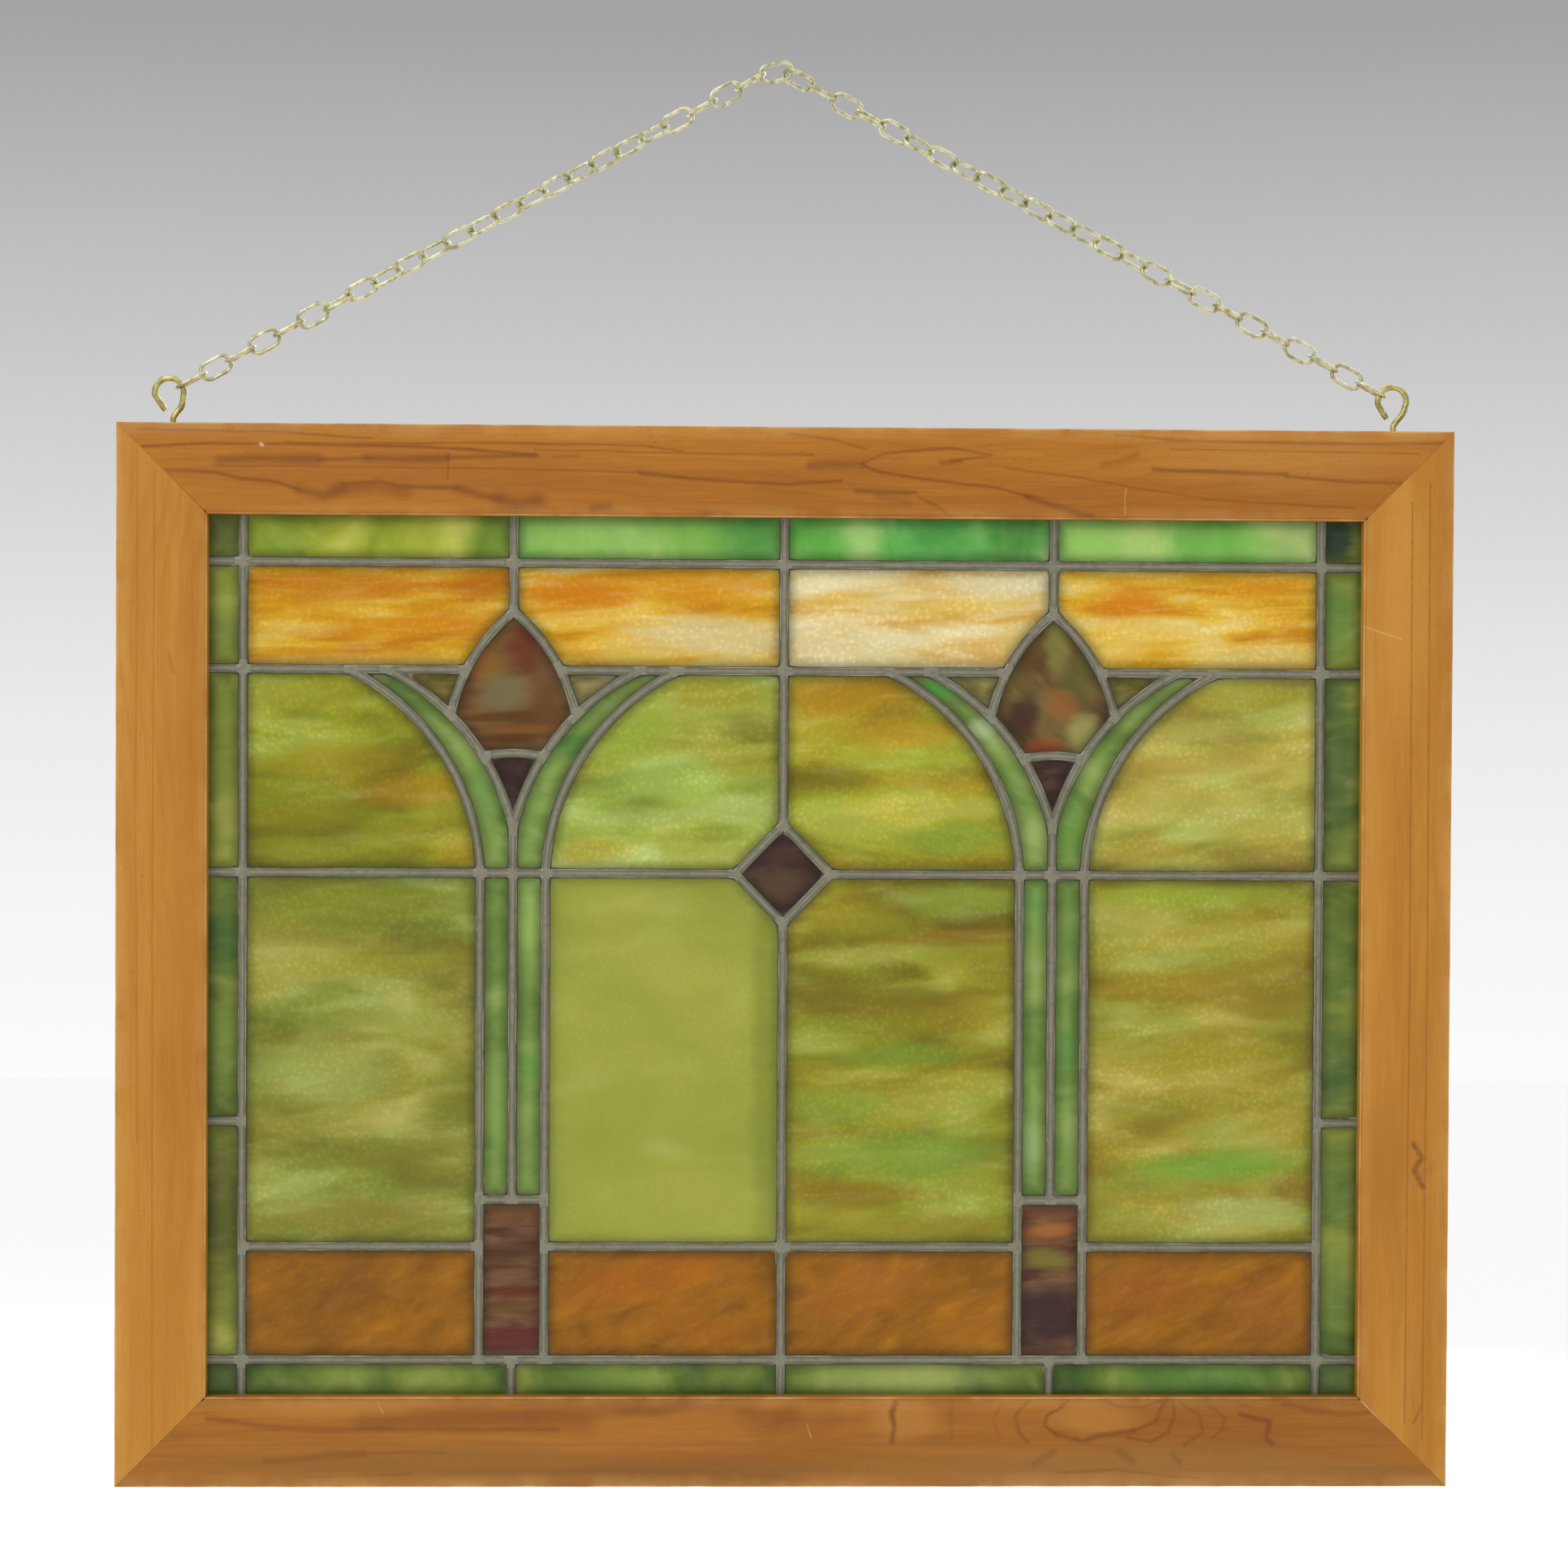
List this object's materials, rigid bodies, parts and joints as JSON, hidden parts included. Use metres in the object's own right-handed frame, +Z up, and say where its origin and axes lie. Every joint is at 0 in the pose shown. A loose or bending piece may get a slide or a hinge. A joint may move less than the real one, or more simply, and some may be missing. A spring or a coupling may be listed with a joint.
{
  "type": "stained glass window",
  "caption": "leaded stained glass panel of green, amber and olive panes with two buds, in a mitred pine frame, hung by a light chain from screw eyes",
  "frame": {"origin": "where the nail bears under the wire of the chain's apex link, in the mid-plane of the frame", "axes": "+Z up, the front of the window towards -Y, +X to the right of someone who looks at the front"},
  "size_m": [0.56, 0.019, 0.5995],
  "materials": {
    "rail_pine": "satin",
    "stile_pine": "satin",
    "lead": "satin",
    "eye_brass": "polished",
    "chain_brass": "polished",
    "amber_glass": "opalescent",
    "brown_amber_glass": "opalescent",
    "border_green_glass": "opalescent",
    "leaf_green_glass": "opalescent",
    "olive_glass": "opalescent",
    "plain_replacement_glass": "smooth",
    "maroon_glass": "opalescent"
  },
  "bodies": {
    "root": {"top_rail": "rail_pine", "bottom_rail": "rail_pine", "left_stile": "stile_pine", "right_stile": "stile_pine", "lead_came": "lead", "screw_eye_left": "eye_brass", "screw_eye_right": "eye_brass", "chain_left": "chain_brass", "chain_right": "chain_brass", "amber_top_1": "amber_glass", "amber_top_2": "amber_glass", "amber_top_3": "amber_glass", "amber_top_4": "amber_glass", "leaf_1": "leaf_green_glass", "leaf_2": "leaf_green_glass", "leaf_3": "leaf_green_glass", "leaf_4": "leaf_green_glass", "field_upper_1": "olive_glass", "field_upper_2": "olive_glass", "field_upper_3": "olive_glass", "field_upper_4": "olive_glass", "stem_1": "leaf_green_glass", "stem_2": "leaf_green_glass", "stem_3": "leaf_green_glass", "stem_4": "leaf_green_glass", "field_lower_1": "olive_glass", "field_lower_2": "plain_replacement_glass", "field_lower_3": "olive_glass", "field_lower_4": "olive_glass", "base_amber_1": "brown_amber_glass", "base_amber_2": "brown_amber_glass", "base_amber_3": "brown_amber_glass", "base_amber_4": "brown_amber_glass", "bud_left": "maroon_glass", "bud_right": "maroon_glass", "bud_base_left": "maroon_glass", "bud_base_right": "maroon_glass", "pedestal_left": "maroon_glass", "pedestal_right": "maroon_glass", "diamond": "maroon_glass", "border_top_1": "border_green_glass", "border_top_2": "border_green_glass", "border_top_3": "border_green_glass", "border_top_4": "border_green_glass", "border_bottom_1": "border_green_glass", "border_bottom_2": "border_green_glass", "border_bottom_3": "border_green_glass", "border_bottom_4": "border_green_glass", "border_left_1": "border_green_glass", "border_left_2": "border_green_glass", "border_left_3": "border_green_glass", "border_left_4": "border_green_glass", "border_right_1": "border_green_glass", "border_right_2": "border_green_glass", "border_right_3": "border_green_glass", "border_right_4": "border_green_glass", "corner_top_left": "border_green_glass", "corner_top_right": "border_green_glass", "corner_bottom_left": "border_green_glass", "corner_bottom_right": "border_green_glass"}
  },
  "joints": []
}
